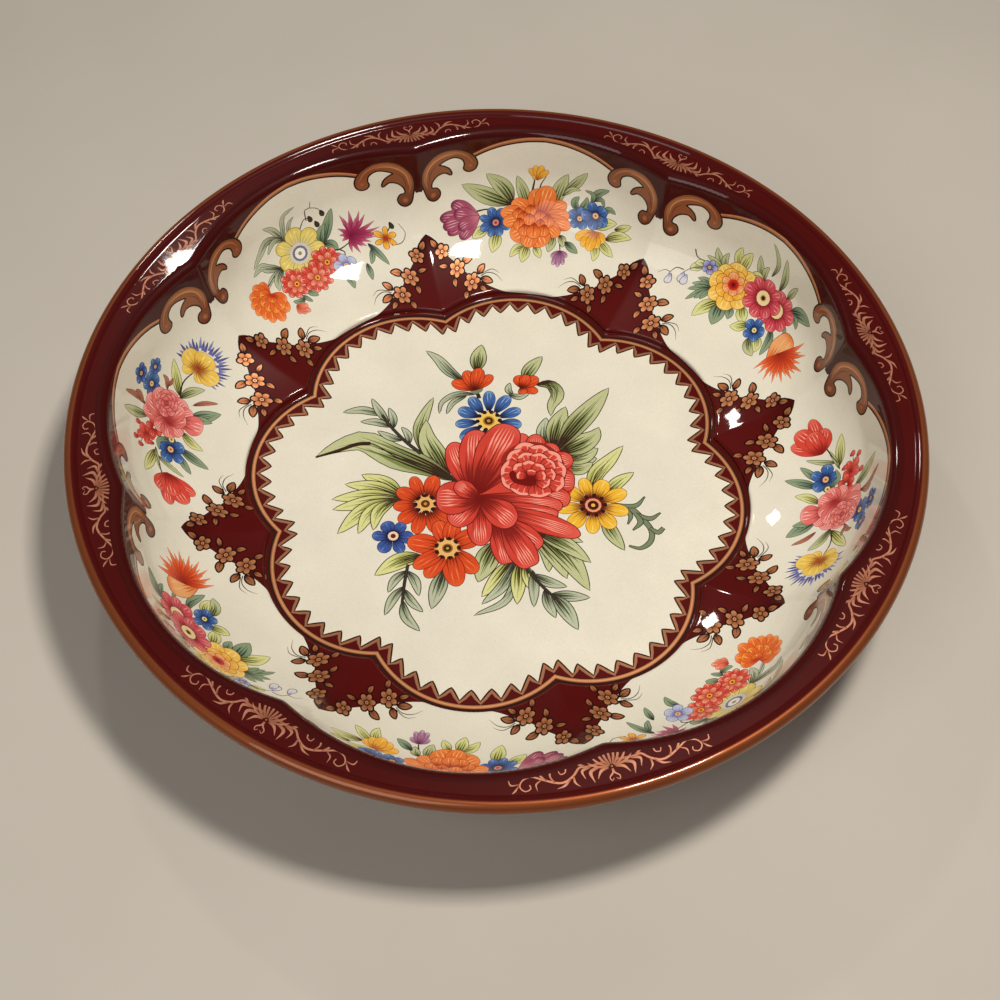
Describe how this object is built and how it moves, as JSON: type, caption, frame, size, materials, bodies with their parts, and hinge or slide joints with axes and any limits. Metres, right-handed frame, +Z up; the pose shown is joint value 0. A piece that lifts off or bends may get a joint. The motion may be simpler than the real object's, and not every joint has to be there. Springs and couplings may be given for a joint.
{
  "type": "lobed tin dish",
  "caption": "Round pressed tin dish with a fluted lobed wall, a flat recessed well, a level rim, a rolled edge and printed flowers.",
  "frame": {"origin": "centre of the underside, on the surface that the dish stands on", "axes": "+Z up along the dish's axis; +X and +Y through the middle of two of the eight panels"},
  "size_m": [0.256, 0.256, 0.0437],
  "materials": {
    "tinplate": "bright tinplate",
    "steel_wire": "drawn",
    "cream_enamel": "glossy varnish",
    "maroon_enamel": "glossy varnish",
    "copper_enamel": "glossy varnish",
    "back_lacquer": "satin lacquer"
  },
  "bodies": {
    "root": {"dish_sheet": "tinplate", "rim_wire": "steel_wire", "well_enamel": "cream_enamel", "panel_enamel": "cream_enamel", "medallion_enamel": "maroon_enamel", "border_enamel": "maroon_enamel", "edge_enamel": "copper_enamel", "back_lacquer": "back_lacquer"}
  },
  "joints": []
}
